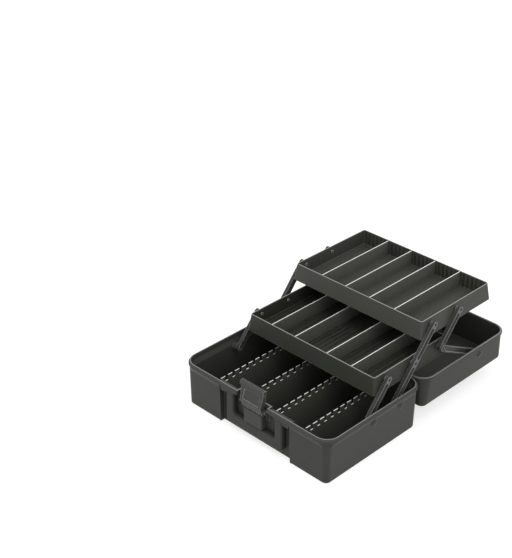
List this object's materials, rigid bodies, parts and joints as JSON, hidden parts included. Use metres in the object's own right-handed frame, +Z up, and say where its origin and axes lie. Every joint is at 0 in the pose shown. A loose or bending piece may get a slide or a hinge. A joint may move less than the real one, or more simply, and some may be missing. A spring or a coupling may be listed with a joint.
{
  "type": "tackle box",
  "caption": "Open tackle box: deep base with partitions, lid laid back level, two divided trays on swing arms, bail handle and front latch.",
  "frame": {"origin": "middle of the underside of the base", "axes": "+X along the width, to the right seen from the handle side; +Y from the handle to the hinge; +Z up"},
  "size_m": [0.3612, 0.5139, 0.1994],
  "materials": {
    "shell": "glossy moulded plastic, near black",
    "fitting": "satin moulded plastic, near black",
    "tray": "satin moulded plastic, near black",
    "pin": "moulded plastic pin, near black",
    "steel": "drawn steel pin"
  },
  "bodies": {
    "base": {"base_shell": "shell", "base_partition_1": "tray", "base_partition_2": "tray", "base_partition_3": "tray", "base_partition_4": "tray", "base_front_pins": "pin", "base_rear_pins": "pin", "handle_pins": "pin", "latch_mount": "fitting", "latch_pin": "steel"},
    "hinge": {"hinge_pins": "steel"},
    "lid": {"lid_shell": "shell", "lid_link_pins": "pin"},
    "lid_links": {"lid_link_left": "fitting", "lid_link_right": "fitting"},
    "front_arms": {"front_arm_left": "fitting", "front_arm_right": "fitting"},
    "long_arms": {"long_arm_left": "fitting", "long_arm_right": "fitting"},
    "rear_arms": {"rear_arm_left": "fitting", "rear_arm_right": "fitting"},
    "lower_tray": {"lower_tray": "tray", "lower_divider_1": "tray", "lower_divider_2": "tray", "lower_divider_3": "tray", "lower_divider_4": "tray", "lower_front_pins": "pin", "lower_mid_pins": "pin", "lower_rear_pins": "pin"},
    "upper_tray": {"upper_tray": "tray", "upper_divider_1": "tray", "upper_divider_2": "tray", "upper_divider_3": "tray", "upper_divider_4": "tray", "upper_front_pins": "pin", "upper_rear_pins": "pin"},
    "handle": {"handle": "fitting"},
    "latch": {"latch": "fitting"}
  },
  "joints": [
    {"name": "lid_shut", "type": "hinge", "parent": "base", "child": "hinge", "pos_m": [0, 0.1279, 0.094], "axis": [1, 0, 0], "range_deg": [0, 32.4]},
    {"name": "lid_hinge", "type": "hinge", "parent": "hinge", "child": "lid", "pos_m": [0, 0.1279, 0.094], "axis": [1, 0, 0], "range_deg": [0, 147.6]},
    {"name": "front_arm_swing", "type": "hinge", "parent": "base", "child": "front_arms", "pos_m": [0, -0.0005, 0.0703], "axis": [1, 0, 0], "range_deg": [0, 103.6]},
    {"name": "long_arm_swing", "type": "hinge", "parent": "base", "child": "long_arms", "pos_m": [0, 0.0713, 0.0703], "axis": [1, 0, 0], "range_deg": [0, 103.6]},
    {"name": "lower_tray_pivot", "type": "hinge", "parent": "front_arms", "child": "lower_tray", "pos_m": [0, 0.04899, 0.12929], "axis": [1, 0, 0], "range_deg": [-103.6, 0]},
    {"name": "upper_tray_pivot", "type": "hinge", "parent": "long_arms", "child": "upper_tray", "pos_m": [0, 0.17029, 0.18827], "axis": [1, 0, 0], "range_deg": [-103.6, 0]},
    {"name": "rear_arm_swing", "type": "hinge", "parent": "lower_tray", "child": "rear_arms", "pos_m": [0, 0.195, 0.12929], "axis": [1, 0, 0], "range_deg": [0, 103.6]},
    {"name": "lid_link_pivot", "type": "hinge", "parent": "lid", "child": "lid_links", "pos_m": [0, 0.2995, 0.0734], "axis": [1, 0, 0], "range_deg": [0, 24]},
    {"name": "handle_swing", "type": "hinge", "parent": "base", "child": "handle", "pos_m": [0, -0.1164, 0.0794], "axis": [-1, 0, 0], "range_deg": [0, 90]},
    {"name": "latch_swing", "type": "hinge", "parent": "base", "child": "latch", "pos_m": [0, -0.1208, 0.078], "axis": [-1, 0, 0], "range_deg": [-60, 0]}
  ],
  "couplings": [
    {"joint": "front_arm_swing", "follows": "lid_hinge", "ratio": 0.69919},
    {"joint": "long_arm_swing", "follows": "lid_hinge", "ratio": 0.69919},
    {"joint": "lower_tray_pivot", "follows": "lid_hinge", "ratio": -0.69919},
    {"joint": "upper_tray_pivot", "follows": "lid_hinge", "ratio": -0.69919},
    {"joint": "rear_arm_swing", "follows": "lid_hinge", "ratio": 0.69919},
    {"joint": "lid_link_pivot", "follows": "lid_hinge", "ratio": 0.15989}
  ]
}
